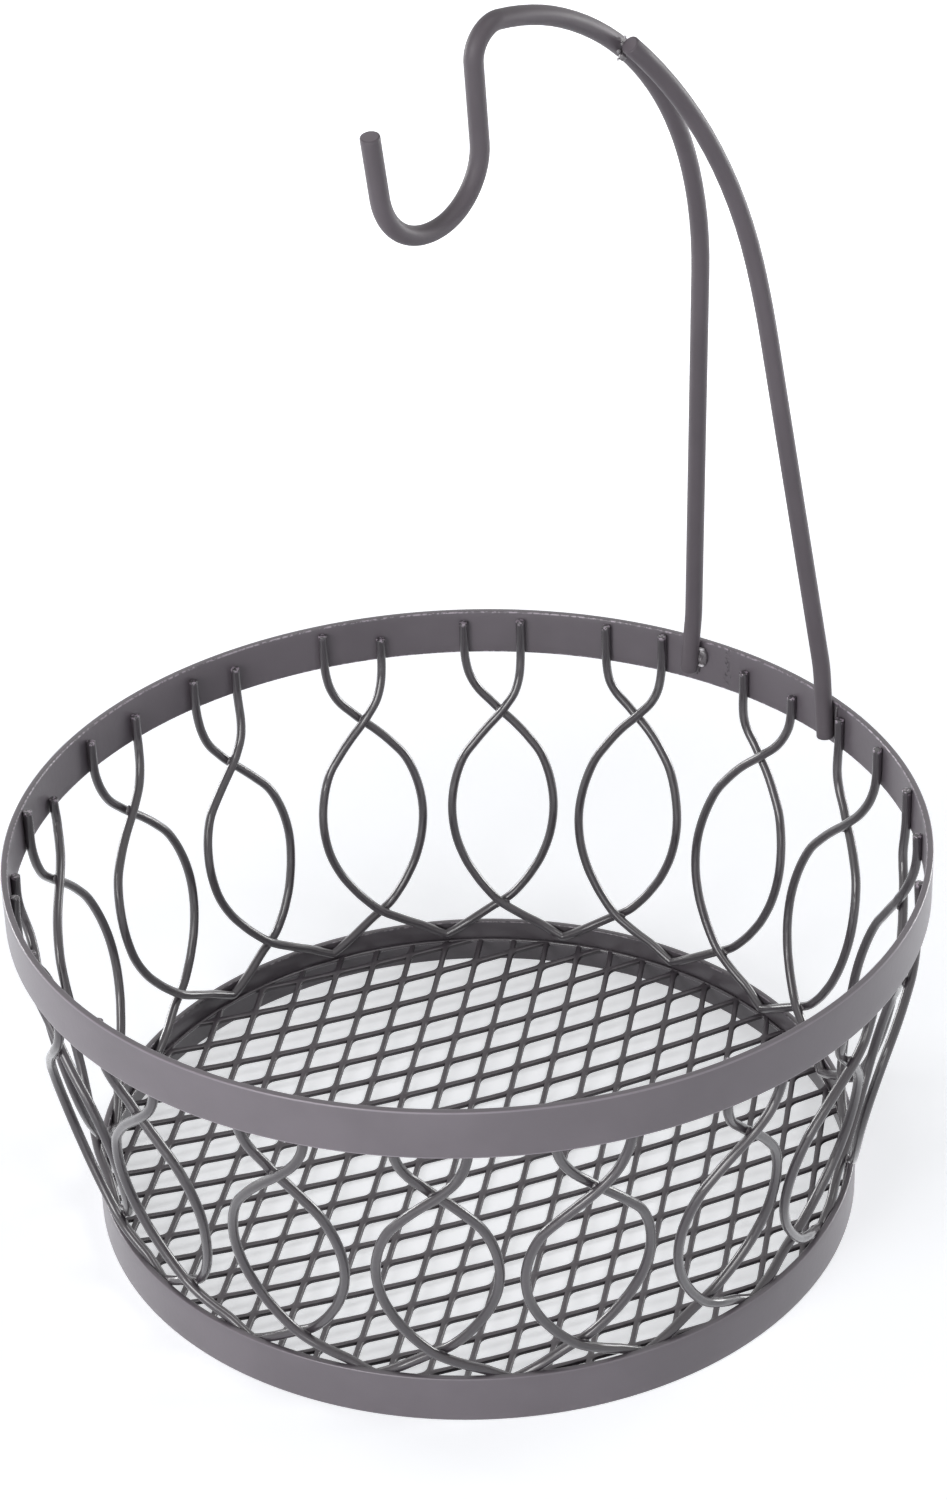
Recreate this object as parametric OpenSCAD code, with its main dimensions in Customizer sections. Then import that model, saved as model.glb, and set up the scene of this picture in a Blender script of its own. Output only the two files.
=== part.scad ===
// Fruit basket of strip, wire and expanded metal, with a banana hook over its middle.
// Frame: origin on the ground under the middle of the basket, +Z up. The hook's two legs
// stand on the rim at +Y, and the hook reaches back over the middle.

/* [Bands] */
// Outer diameter of the rim band
rim_d = 270; // [235:1:330]
// Outer diameter of the base band
base_d = 231; // [190:1:250]
// Height of the rim band's upper edge
side_h = 122; // [90:1:170]
// Height of the strip that both bands are rolled from
band_h = 15; // [11:0.5:20]
// Thickness of the strip
band_t = 2; // [1.2:0.1:3]
// Worn corner along the strip's edges
strip_bevel = 0.3; // [0.1:0.05:0.5]

/* [Side wires] */
// Number of side wires
wire_count = 18; // [14:1:20]
// Diameter of the side wires
wire_d = 2.9; // [2:0.1:3.2]
// Depth of the wires' upper ends below the rim's upper edge
wire_end_drop = 4; // [3:0.5:9]
// Room between the mesh and the bends of the wires
wire_lift = 1.7; // [0.5:0.1:3]

/* [Mesh floor] */
// Length of one diamond, knot to knot
mesh_long = 22.2; // [18:0.1:30]
// Width of one diamond, knot to knot
mesh_short = 12.7; // [10:0.1:17]
// Width of one strand
strand_w = 1.7; // [1.2:0.1:2.4]
// Width of one knot
knot_w = 3.2; // [2.8:0.1:5]
// Thickness of the sheet
sheet_t = 1.2; // [0.8:0.1:2]
// Width of the closed border
border_w = 1.4; // [1:0.1:3]
// Height of the sheet's lower face at its border
floor_h = 7.4; // [7:0.1:9]
// Depth by which the middle hangs lower than the border
floor_sag = 6.6; // [3:0.1:6.7]
// Direction of the long diagonals
mesh_angle = 95.2; // [0:0.1:180]

/* [Hook and brace] */
// Diameter of the rod
rod_d = 5.4; // [4:0.1:6]
// Angle at the middle between each foot and the plane between them
foot_angle = 12.65; // [10:0.05:15]
// Depth of the brace's lower end below the rim's upper edge
foot_drop = 12; // [8:0.5:14]
// Height by which the hook rod's lower end stands above the brace's
foot_step = 1.8; // [0:0.1:3]
// Straight length of the brace's foot, before the leg leans in
foot_run = 19.8; // [15:0.1:25]
// Lean of the hook rod's leg towards the middle
leg_angle = 5.55; // [4:0.05:8]
// Straight length of the hook rod's leg
leg_run = 121.6; // [95:0.1:140]
// Radius of the lower arch
low_arch_r = 128.3; // [110:0.1:150]
// Radius of the middle arch
mid_arch_r = 120.8; // [100:0.1:135]
// Radius of the upper arch
top_arch_r = 91.1; // [70:0.1:100]
// Radius of the tight bend in front of the hook
neck_r = 8.2; // [6:0.1:12]
// Straight length between that bend and the hook
neck_run = 23.7; // [15:0.1:28]
// Radius of the hook's bowl, first half and second half
hook_r = 17.1; // [15:0.1:22]
hook_low_r = 21.7; // [17:0.1:25]
// Straight length of the hook's tip
tip_run = 19.2; // [12:0.1:30]
// Lean of the brace's leg towards the middle
brace_angle = 7.37; // [6:0.01:9]
// Straight length of the brace rod's leg
brace_run = 109.4; // [102:0.1:116]
// Radius of the brace's lower arch
brace_low_r = 295; // [250:1:350]
// Radius of the brace's upper arch
brace_top_r = 144.9; // [135:0.1:155]
// Size of the weld bead at the hook's foot
bead_r = 2; // [1.2:0.1:2.6]
// Depth of that bead below the rim's upper edge
bead_drop = 5.2; // [4.8:0.1:8]
// Size of the tacks at the brace's end
tack_r = 1.2; // [0.8:0.1:1.6]

/* [Hidden] */
// Sides of the round tubes, and the largest distance between an arc and its chords
wire_sides = 8;
rod_sides = 12;
chord_sag = 0.08;
// Room between welded pieces, which the paint fills
seat_gap = 0.12;
overrun = 1;

// Angles of the bends along the rods, chosen by hand
low_arch_angle = 16.9;
mid_arch_angle = 43.46;
top_arch_angle = 17.2;
neck_angle = 106.2;
hook_angle = 90;
hook_low_angle = 86.05;
brace_low_angle = 4.6;
brace_top_angle = 34.43;
// Radius of the small bend between a foot and its leg
lean_r = 60;
// Angle between each rod's plane and the plane between them, seen from above
toe_angle = 3.9;
// Angle by which the arm stands off the wires' pattern, seen from above
arm_angle = -0.4;

wire_names = [for (k = [1:wire_count]) str("side_wire_", k < 10 ? "0" : "", k)];

rim_in_r = rim_d/2 - band_t;
base_in_r = base_d/2 - band_t;
wire_r = wire_d/2;
rod_r = rod_d/2;
pitch = 360 / wire_count;

// Heights and radii of the wires' centre line
wire_top_z = side_h - wire_end_drop;
wire_low_z = floor_h + sheet_t + wire_lift + wire_r;
wire_top_r = rim_in_r - wire_r - seat_gap;
wire_low_r = base_in_r - wire_r - seat_gap;
wire_lift_r = wire_r + seat_gap/2;

// One arm of a side wire, from its bend up to its end: distance from the bend in shares of the
// pitch, height in shares of the way up, and distance off the wall in shares of a half crossing
arm_shares = [
  [0.000, 0.000, 0.00], [0.035, 0.005, 0.00], [0.100, 0.018, 0.00], [0.200, 0.040, 0.10],
  [0.300, 0.061, 0.55], [0.400, 0.083, 0.90], [0.500, 0.105, 1.00], [0.577, 0.128, 1.00],
  [0.663, 0.165, 1.00], [0.731, 0.201, 1.00], [0.814, 0.257, 1.00], [0.879, 0.332, 1.00],
  [0.900, 0.417, 1.00], [0.871, 0.502, 1.00], [0.800, 0.581, 1.00], [0.702, 0.643, 1.00],
  [0.597, 0.690, 1.00], [0.500, 0.720, 1.00], [0.455, 0.746, 1.00], [0.385, 0.788, 0.75],
  [0.323, 0.830, 0.35], [0.293, 0.877, 0.05], [0.293, 1.000, 0.00]
];

// Radius of the wall's middle at a height: upright inside the bands, a cone between them
function wall_r(z) =
  let (share = (z - band_h) / (side_h - 2*band_h))
  wire_low_r + (wire_top_r - wire_low_r) * min(1, max(0, share));

// One point of a wire: side is 1 for the arm that lies outside its neighbour, -1 for the other
function wire_point(bend_angle, side, shares) =
  let (
    angle = bend_angle - side * shares[0] * pitch,
    z = wire_low_z + shares[1] * (wire_top_z - wire_low_z),
    r = wall_r(z) + side * shares[2] * wire_lift_r
  )
  [r*cos(angle), r*sin(angle), z];

function wire_path(bend_angle) =
  let (last = len(arm_shares) - 1)
  concat(
    [for (i = [last:-1:0]) wire_point(bend_angle, 1, arm_shares[i])],
    [for (i = [1:last]) wire_point(bend_angle, -1, arm_shares[i])]
  );

function unit(v) = v / norm(v);

// Ring of points round the path at one of its points, square to the path
function ring(path, facing, r, sides, i) =
  let (
    last = len(path) - 1,
    arriving = unit(path[max(1, i)] - path[max(0, i - 1)]),
    leaving = unit(path[min(last, i + 1)] - path[min(last - 1, i)]),
    along = unit(arriving + leaving),
    up = unit(facing[i] - (facing[i]*along) * along),
    across = cross(along, up)
  )
  [for (k = [0:sides - 1])
    let (a = 360 * (k + 0.5) / sides)
    path[i] + r * (cos(a)*up + sin(a)*across)];

// Round tube along a path, where facing holds a direction off the path for each of its points
module tube_along(path, facing, r, sides) {
  rings = len(path);
  points = [for (i = [0:rings - 1]) each ring(path, facing, r, sides, i)];
  walls = [for (i = [0:rings - 2], k = [0:sides - 1])
    let (
      a = i*sides + k,
      b = i*sides + (k + 1) % sides
    )
    each [[a, a + sides, b], [b, a + sides, b + sides]]];
  first_cap = [for (k = [1:sides - 2]) [0, k, k + 1]];
  end = (rings - 1) * sides;
  last_cap = [for (k = [1:sides - 2]) [end, end + k + 1, end + k]];
  polyhedron(points = points, faces = concat(walls, first_cap, last_cap), convexity = 8);
}

// Outline of the opening in one diamond: pointed ends, and a flat at each knot
slope = atan(mesh_short / mesh_long);
open_x = mesh_long/2 - strand_w/2/sin(slope);
open_y = mesh_short/2 - strand_w/2/cos(slope);
knot_y = mesh_short/2 - knot_w/2;
knot_x = open_x * (1 - knot_y/open_y);
opening = [
  [open_x, 0], [knot_x, knot_y], [-knot_x, knot_y],
  [-open_x, 0], [-knot_x, -knot_y], [knot_x, -knot_y]
];
// Place of one opening's middle, in shares of a diamond off the middle of the floor
middle_shares = [0.016, 0.149];
floor_r = base_in_r - seat_gap;
dish_r = (floor_r*floor_r + floor_sag*floor_sag) / (2*floor_sag);
net_h = floor_h + floor_sag + sheet_t + overrun;
mesh_reach = ceil(2 * floor_r / mesh_short);

// Place of the rods' feet on the rim
foot_r = rim_in_r - rod_r - seat_gap;
foot_x = foot_r * sin(foot_angle);
foot_y = foot_r * cos(foot_angle);
foot_z = side_h - foot_drop;

// A rod's run is a list of steps, [length, 0] straight or [radius, turn] round a bend
hook_steps = [
  [foot_run - foot_step, 0], [lean_r, leg_angle], [leg_run, 0], [low_arch_r, low_arch_angle],
  [mid_arch_r, mid_arch_angle], [top_arch_r, top_arch_angle], [neck_r, neck_angle],
  [neck_run, 0], [hook_r, -hook_angle], [hook_low_r, -hook_low_angle], [tip_run, 0]
];
brace_steps = [
  [foot_run, 0], [lean_r, brace_angle], [brace_run, 0], [brace_low_r, brace_low_angle],
  [brace_top_r, brace_top_angle]
];

// Heading and place where step i of a rod begins
function heading(steps, i) = i == 0 ? 0 : heading(steps, i - 1) + steps[i - 1][1];
function step_move(step, a, share) =
  let (turn = step[1] * share)
  step[1] == 0
    ? share * step[0] * [-sin(a), cos(a)]
    : sign(turn) * step[0] * [cos(a + turn) - cos(a), sin(a + turn) - sin(a)];
function place(steps, i) =
  i == 0 ? [0, 0] : place(steps, i - 1) + step_move(steps[i - 1], heading(steps, i - 1), 1);

// Number of chords that an arc is drawn with
function chords(step) =
  step[1] == 0 ? 1 : ceil(abs(step[1]) / (2 * acos(1 - chord_sag/step[0])));

// Flat path of a rod, with +Z off its plane
function rod_path(steps) =
  concat(
    [[0, 0, 0]],
    [for (i = [0:len(steps) - 1])
      let (
        start = place(steps, i),
        a = heading(steps, i),
        n = chords(steps[i])
      )
      for (j = [1:n])
        let (p = start + step_move(steps[i], a, j/n))
        [p[0], p[1], 0]]
  );

// The rods' planes lean until the brace's end lies against the side of the arch
brace_end = place(brace_steps, len(brace_steps));
side_gap = foot_x + brace_end[0]*sin(toe_angle) - rod_r - seat_gap/2;
lean_angle = asin(side_gap / (brace_end[1]*cos(toe_angle)));

module rod(steps) {
  path = rod_path(steps);
  tube_along(path, [for (p = path) [0, 0, 1]], rod_r, rod_sides);
}

// Puts a flat bent rod on its foot: side is 1 for the brace, -1 for the hook
module on_foot(side) {
  rotate(arm_angle)
    translate([side * foot_x, foot_y, foot_z])
      rotate([0, -side * lean_angle, -side * toe_angle])
        rotate([90, 0, 90])
          children();
}

module band(outer_d, low_z) {
  r_out = outer_d/2;
  r_in = r_out - band_t;
  b = strip_bevel;
  translate([0, 0, low_z])
    rotate_extrude($fn = 360)
      polygon([
        [r_in, b], [r_in + b, 0], [r_out - b, 0], [r_out, b],
        [r_out, band_h - b], [r_out - b, band_h], [r_in + b, band_h], [r_in, band_h - b]
      ]);
}

module rim_band() color([0.45, 0.42, 0.44]) band(rim_d, side_h - band_h);

module base_band() color([0.42, 0.39, 0.41]) band(base_d, 0);

// Flat net of diamonds inside a closed border
module net() {
  difference() {
    circle(r = floor_r, $fn = 180);
    intersection() {
      circle(r = floor_r - border_w, $fn = 180);
      rotate(mesh_angle)
        for (i = [-mesh_reach:mesh_reach], j = [-mesh_reach:mesh_reach]) {
          middle = [
            ((i + j)/2 + middle_shares[0]) * mesh_long,
            ((i - j)/2 + middle_shares[1]) * mesh_short
          ];
          if (norm(middle) < floor_r + mesh_long/2)
            translate(middle) polygon(opening);
        }
    }
  }
}

// The net is cut from a thin shell of a large ball, so that its middle hangs
module mesh_floor() {
  color([0.36, 0.34, 0.35])
    intersection() {
      linear_extrude(height = net_h) net();
      translate([0, 0, floor_h + sheet_t - floor_sag + dish_r])
        difference() {
          sphere(r = dish_r + sheet_t, $fn = 720);
          sphere(r = dish_r, $fn = 720);
        }
    }
}

// Bends lie half a pitch beside the hook's plane, so an oval stands between its feet
module side_wire(k) {
  path = wire_path(90 + (k + 0.5) * pitch);
  facing = [for (p = path) unit([p[0], p[1], 0])];
  color([0.38, 0.35, 0.37]) tube_along(path, facing, wire_r, wire_sides);
}

module hook_rod()
  color([0.42, 0.39, 0.41]) on_foot(-1) translate([0, foot_step, 0]) rod(hook_steps);

module brace_rod() color([0.42, 0.39, 0.41]) on_foot(1) rod(brace_steps);

// A bead in the corner between a foot and the rim: side as in on_foot, height on the band
module foot_bead(side, size, z) {
  angle = 90 + arm_angle - side * (foot_angle - asin((rod_r + size/2) / rim_in_r));
  r = rim_in_r - size/2;
  translate([r*cos(angle), r*sin(angle), z]) sphere(r = size, $fn = 12);
}

// Tacks round the brace's end: across, along and beside the rod, in shares of its radius
tack_shares = [[-0.85, -1.1, -1.05], [0.3, 0.35, -1.15], [-0.6, 0.3, -0.8]];

module weld_beads() {
  bead_z = side_h - bead_drop;
  tack_z = side_h - band_h/2;
  color([0.45, 0.42, 0.43])
    difference() {
      union() {
        for (lift = [-1, 1])
          foot_bead(-1, bead_r, bead_z + lift * bead_r);
        for (lift = [-1, 0, 1])
          foot_bead(1, tack_r, tack_z + lift * tack_r);
        on_foot(1)
          translate(brace_end)
            rotate(heading(brace_steps, len(brace_steps)))
              for (t = tack_shares)
                translate(rod_r * t) sphere(r = tack_r, $fn = 12);
      }
      rim_band();
      hook_rod();
      brace_rod();
    }
}

rim_band();
base_band();
mesh_floor();
hook_rod();
brace_rod();
weld_beads();
for (k = [0:wire_count - 1])
  side_wire(k);
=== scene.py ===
"""Painted fruit basket of strip, wire and expanded metal with a banana hook: forms and finishes.

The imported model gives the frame. Every piece here is a surface worked out in metres in that
frame, from the same driving sizes as the model, and rides on its one body.
"""
import logging
import math
from dataclasses import dataclass
from enum import Enum

import bmesh
import bpy
import numpy as np
from mathutils import Matrix, Vector


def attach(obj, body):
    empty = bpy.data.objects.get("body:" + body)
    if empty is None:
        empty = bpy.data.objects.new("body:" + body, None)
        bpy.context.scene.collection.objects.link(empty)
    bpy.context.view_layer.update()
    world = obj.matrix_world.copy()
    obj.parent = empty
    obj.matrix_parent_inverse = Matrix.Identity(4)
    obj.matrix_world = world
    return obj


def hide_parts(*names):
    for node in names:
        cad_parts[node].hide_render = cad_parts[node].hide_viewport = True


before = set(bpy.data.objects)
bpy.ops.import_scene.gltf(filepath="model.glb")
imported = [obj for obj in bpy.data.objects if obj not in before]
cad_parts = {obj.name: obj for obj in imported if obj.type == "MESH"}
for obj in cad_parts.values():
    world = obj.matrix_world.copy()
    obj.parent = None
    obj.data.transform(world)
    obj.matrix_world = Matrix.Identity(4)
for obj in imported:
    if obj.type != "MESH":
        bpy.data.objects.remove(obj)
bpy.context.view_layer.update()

MM = 0.001
BODY = "root"
LOG = logging.getLogger("fruit_basket")


class Slot(Enum):
    """Names of material slots, which nothing in this script uses."""

    STRIP = "strip_paint"
    ROD = "rod_paint"
    WIRE = "wire_paint"
    MESH = "mesh_paint"
    WELD = "weld_paint"


class RodEnd(Enum):
    """How the end of a round bar is cut: depth and width of its rounding in radii, and its rings."""

    BLUNT = (0.16, 0.22, 4)
    ROUND = (0.55, 0.75, 7)


# Array helpers


def unit(vectors: np.ndarray) -> np.ndarray:
    """Scales each row to length one.

    Args:
        vectors: Rows of vectors.

    Returns:
        The rows, each divided by its own length.
    """
    return vectors / np.linalg.norm(vectors, axis=-1, keepdims=True)


def spline(points: np.ndarray, steps: int) -> np.ndarray:
    """Runs a smooth curve through every given point.

    Each span is the cubic of Catmull and Rom: at both of its ends the curve heads along the line
    from the point before to the point after.

    Args:
        points: Rows of points, of any width.
        steps: Number of steps in each span.

    Returns:
        Rows of points along the curve, with the first and the last point kept.
    """
    padded = np.vstack([2 * points[0] - points[1], points, 2 * points[-1] - points[-2]])
    before, start, end, after = padded[:-3], padded[1:-2], padded[2:-1], padded[3:]
    t = (np.arange(steps) / steps)[None, :, None]
    before, start, end, after = (part[:, None, :] for part in (before, start, end, after))
    curve = 0.5 * (
        2 * start
        + (end - before) * t
        + (2 * before - 5 * start + 4 * end - after) * t**2
        + (3 * start - before - 3 * end + after) * t**3
    )
    return np.vstack([curve.reshape(-1, points.shape[1]), points[-1:]])


def soft_noise(angle: np.ndarray, seed: int, waves: int = 7) -> np.ndarray:
    """Smooth closed wobble round a circle: a sum of sines with falling heights and seeded phases.

    Args:
        angle: Angles in radians.
        seed: Seed of the phases.
        waves: Number of sines.

    Returns:
        Values of about minus one to one.
    """
    draw = np.random.default_rng(seed)
    count = np.arange(1, waves + 1)
    phase = draw.uniform(0, 2 * np.pi, waves)
    height = draw.uniform(0.5, 1.0, waves) / count**0.7
    return (np.sin(angle[..., None] * count + phase) * height).sum(-1) / height.sum()


def grid_quads(rows: int, columns: int, close_rows: bool, close_columns: bool) -> np.ndarray:
    """Quads that join neighbours on a grid of points, numbered row by row.

    Args:
        rows: Number of rows.
        columns: Number of points in a row.
        close_rows: True where the last row joins the first.
        close_columns: True where each row's last point joins its first.

    Returns:
        One row of four point numbers per quad.
    """
    i = np.arange(rows if close_rows else rows - 1)[:, None]
    j = np.arange(columns if close_columns else columns - 1)[None, :]
    i2, j2 = (i + 1) % rows, (j + 1) % columns
    corners = (i * columns + j, i * columns + j2, i2 * columns + j2, i2 * columns + j)
    return np.stack([np.broadcast_to(c, (i.size, j.size)) for c in corners], -1).reshape(-1, 4)


def add_piece(
    name: str,
    points: np.ndarray,
    faces: list[np.ndarray],
    sharp_deg: float = 50.0,
    marks: np.ndarray | None = None,
) -> bpy.types.Object:
    """Makes a mesh piece from whole arrays.

    Args:
        name: Name of the piece.
        points: Rows of points in metres.
        faces: Arrays of faces, each with three or four columns.
        sharp_deg: Edges that turn more than this stay sharp.
        marks: One number per point, which a finish can read as the attribute "mark".

    Returns:
        The new piece, at the origin of the frame.
    """
    mesh = bpy.data.meshes.new(name)
    mesh.vertices.add(len(points))
    mesh.vertices.foreach_set("co", np.ascontiguousarray(points, np.float32).ravel())
    widths = np.concatenate([np.full(len(block), block.shape[1]) for block in faces])
    corners = np.concatenate([block.ravel() for block in faces]).astype(np.int32)
    starts = np.concatenate([[0], np.cumsum(widths)[:-1]]).astype(np.int32)
    mesh.loops.add(len(corners))
    mesh.loops.foreach_set("vertex_index", corners)
    mesh.polygons.add(len(widths))
    mesh.polygons.foreach_set("loop_start", starts)
    mesh.update(calc_edges=True)
    mesh.validate()
    mesh.shade_smooth()
    mesh.set_sharp_from_angle(angle=math.radians(sharp_deg))
    if marks is not None:
        mesh.attributes.new("mark", "FLOAT", "POINT").data.foreach_set("value", marks.astype(np.float32))
    piece = bpy.data.objects.new(name, mesh)
    bpy.context.collection.objects.link(piece)
    return piece


@dataclass
class Tube:
    """Round bar carried along a path, with both of its ends closed.

    Each ring is a circle square to the path. The path's direction at a point halves the angle
    between the steps that arrive and leave, and the ring starts from the given facing, less its
    share along the path. An end is a quarter oval from the full radius down to a small face.
    """

    path: np.ndarray
    facing: np.ndarray
    radius: float
    sides: int = 16
    ends: tuple[RodEnd, RodEnd] = (RodEnd.BLUNT, RodEnd.BLUNT)

    def _directions(self) -> tuple[np.ndarray, np.ndarray, np.ndarray]:
        """Directions along, off and across the path at each of its points.

        Returns:
            Rows of unit vectors for each of the three.
        """
        step = unit(np.diff(self.path, axis=0))
        along = unit(np.vstack([step[:1], step]) + np.vstack([step, step[-1:]]))
        share = (self.facing * along).sum(1, keepdims=True)
        off = unit(self.facing - share * along)
        return along, off, np.cross(along, off)

    def _end_rings(self, end: RodEnd) -> tuple[np.ndarray, np.ndarray]:
        """Rings of one end.

        Args:
            end: How the end is cut.

        Returns:
            How far each ring stands back from the tip, and its size, both in radii.
        """
        depth, width, rings = end.value
        turn = np.linspace(0, np.pi / 2, rings)
        return depth * (1 - np.cos(turn)), 1 - width + width * np.sin(turn)

    def surface(self) -> tuple[np.ndarray, list[np.ndarray]]:
        """Works the bar out.

        Returns:
            The points in the path's unit, and the arrays of faces.
        """
        along, off, across = self._directions()
        r = self.radius
        back, size = self._end_rings(self.ends[0])
        head = self.path[0] + np.outer(back * r, along[0])
        back_end, size_end = self._end_rings(self.ends[1])
        tail = (self.path[-1] - np.outer(back_end * r, along[-1]))[::-1]
        run = np.linalg.norm(self.path - self.path[0], axis=1) > back[-1] * r
        run &= np.linalg.norm(self.path - self.path[-1], axis=1) > back_end[-1] * r
        centre = np.vstack([head, self.path[run], tail])
        u = np.vstack([np.tile(off[0], (len(back), 1)), off[run], np.tile(off[-1], (len(back_end), 1))])
        v_end = np.tile(across[-1], (len(back_end), 1))
        v = np.vstack([np.tile(across[0], (len(back), 1)), across[run], v_end])
        radius = r * np.concatenate([size, np.ones(run.sum()), size_end[::-1]])
        turn = np.arange(self.sides) * 2 * np.pi / self.sides
        cosine, sine = np.cos(turn)[None, :, None], np.sin(turn)[None, :, None]
        rim = radius[:, None, None] * (cosine * u[:, None] + sine * v[:, None])
        points = (centre[:, None] + rim).reshape(-1, 3)
        rows, n = len(centre), self.sides
        quads = grid_quads(rows, n, False, True)
        first, last = len(points), len(points) + 1
        ring = np.arange(n)
        cap = np.stack([np.full(n, first), (ring + 1) % n, ring], 1)
        base = (rows - 1) * n
        cap_end = np.stack([np.full(n, last), base + ring, base + (ring + 1) % n], 1)
        points = np.vstack([points, self.path[:1], self.path[-1:]])
        return points, [quads, cap, cap_end]


def join(parts: list[tuple[np.ndarray, list[np.ndarray]]]) -> tuple[np.ndarray, list[np.ndarray]]:
    """Puts several surfaces into one set of points and faces.

    Args:
        parts: Points and arrays of faces of each surface.

    Returns:
        All points, and all faces numbered on them.
    """
    points, faces, start = [], [], 0
    for part_points, part_faces in parts:
        points.append(part_points)
        faces.extend(block + start for block in part_faces)
        start += len(part_points)
    return np.vstack(points), faces


# Shader helpers


class Value:
    """Output socket of a node tree that can be used in sums, as a number or a colour can."""

    def __init__(self, nodes: "Nodes", socket: bpy.types.NodeSocket) -> None:
        """Keeps the tree and the socket."""
        self.nodes = nodes
        self.socket = socket

    def _maths(self, operation: str, *inputs: "Value | float") -> "Value":
        """Adds one Math node on the given inputs."""
        return self.nodes.add("ShaderNodeMath", {"operation": operation}, dict(enumerate(inputs)))

    def __add__(self, other: "Value | float") -> "Value":
        """Sum."""
        return self._maths("ADD", self, other)

    __radd__ = __add__

    def __mul__(self, other: "Value | float") -> "Value":
        """Product."""
        return self._maths("MULTIPLY", self, other)

    __rmul__ = __mul__

    def __sub__(self, other: "Value | float") -> "Value":
        """Difference."""
        return self._maths("SUBTRACT", self, other)

    def __rsub__(self, other: "Value | float") -> "Value":
        """Difference from a number."""
        return self._maths("SUBTRACT", other, self)

    def __abs__(self) -> "Value":
        """Size without its sign."""
        return self._maths("ABSOLUTE", self)

    def band(self, low: float, high: float) -> "Value":
        """Smooth step.

        Args:
            low: Value at which the step begins.
            high: Value at which it has reached one.

        Returns:
            0 below low, 1 above high, and a smooth rise between them.
        """
        settings = {"interpolation_type": "SMOOTHSTEP"}
        inputs = {"Value": self, "From Min": low, "From Max": high, "To Min": 0.0, "To Max": 1.0}
        return self.nodes.add("ShaderNodeMapRange", settings, inputs)


class Nodes:
    """Node tree of one material, with one method that adds any node."""

    def __init__(self, name: str, room: bool = False) -> None:
        """Starts an empty tree.

        Args:
            name: Name of the material or world.
            room: True for a world, which becomes the scene's.
        """
        self.material = (bpy.data.worlds if room else bpy.data.materials).new(name)
        self.material.use_nodes = True
        self.tree = self.material.node_tree
        self.tree.nodes.clear()
        if room:
            bpy.context.scene.world = self.material

    def add(
        self, kind: str, settings: dict[str, object], inputs: dict[object, object], output: object = 0
    ) -> Value:
        """Adds a node.

        Args:
            kind: Type of the node.
            settings: Properties, such as an operation, which are set first.
            inputs: Values or links by the socket's name or number.
            output: Name or number of the output that is wanted.

        Returns:
            The wanted output.
        """
        node = self.tree.nodes.new(kind)
        for key, value in settings.items():
            setattr(node, key, value)
        for key, value in inputs.items():
            if isinstance(value, Value):
                self.tree.links.new(value.socket, node.inputs[key])
            else:
                node.inputs[key].default_value = value
        return Value(self, node.outputs[output])

    def place(self) -> Value:
        """Position in the piece's own frame, in metres."""
        return self.add("ShaderNodeTexCoord", {}, {}, "Object")

    def noise(self, place: Value, size: float, detail: float = 2.0, rough: float = 0.5) -> Value:
        """Cloudy noise whose blotches are about the given size in metres."""
        inputs = {"Vector": place, "Scale": 1 / size, "Detail": detail, "Roughness": rough}
        return self.add("ShaderNodeTexNoise", {}, inputs, "Fac")

    def split(self, vector: Value) -> tuple[Value, Value, Value]:
        """X, Y and Z of a vector."""
        node = self.add("ShaderNodeSeparateXYZ", {}, {"Vector": vector}).socket.node
        return tuple(Value(self, node.outputs[axis]) for axis in "XYZ")

    def mix(
        self, share: Value, first: tuple[float, ...] | Value, second: tuple[float, ...] | Value
    ) -> Value:
        """Colour between two colours."""
        settings = {"data_type": "RGBA", "clamp_factor": True}
        return self.add("ShaderNodeMix", settings, {0: share, 6: first, 7: second}, 2)

    def finish(self, shader: Value) -> bpy.types.Material | bpy.types.World:
        """Links the surface and returns the material or world."""
        room = isinstance(self.material, bpy.types.World)
        output = self.tree.nodes.new("ShaderNodeOutputWorld" if room else "ShaderNodeOutputMaterial")
        self.tree.links.new(shader.socket, output.inputs["Surface"])
        return self.material


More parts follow.
